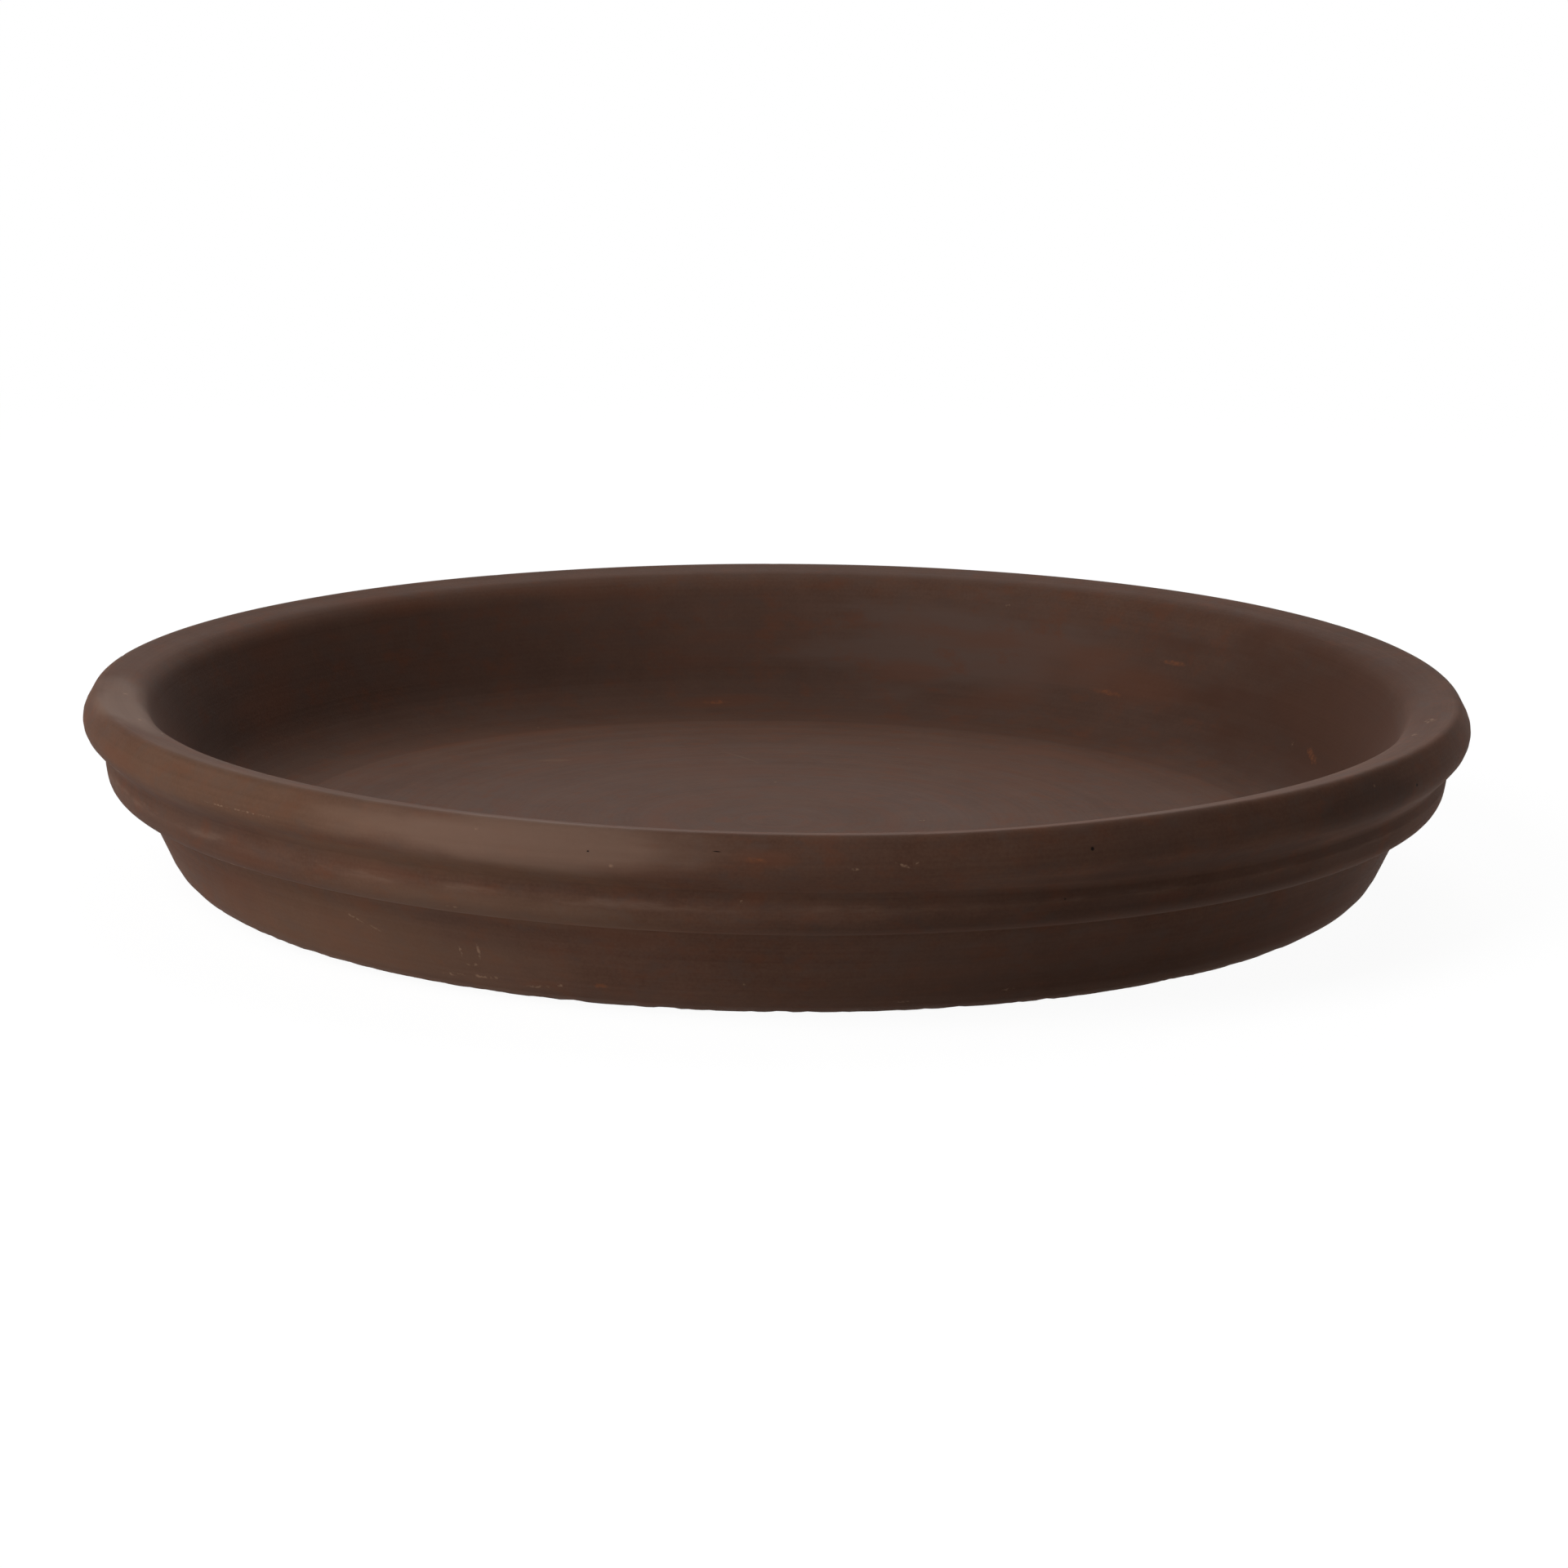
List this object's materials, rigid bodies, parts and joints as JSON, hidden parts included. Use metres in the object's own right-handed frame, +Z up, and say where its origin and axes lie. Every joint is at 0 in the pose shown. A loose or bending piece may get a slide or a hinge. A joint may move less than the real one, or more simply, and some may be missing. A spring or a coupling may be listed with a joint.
{
  "type": "plant saucer",
  "caption": "Round shallow clay saucer with a rolled, inward-sloping rim over a stepped band and a drafted wall; stands under a pot and catches drained water.",
  "frame": {"origin": "centre of the flat base, on the surface that the saucer stands on", "axes": "+Z up along the axis that the saucer is turned about; X and Y are any two level directions"},
  "size_m": [0.305, 0.305, 0.043],
  "materials": {
    "fired_clay": "unglazed matte, dark brown"
  },
  "bodies": {
    "root": {"saucer_body": "fired_clay"}
  },
  "joints": []
}
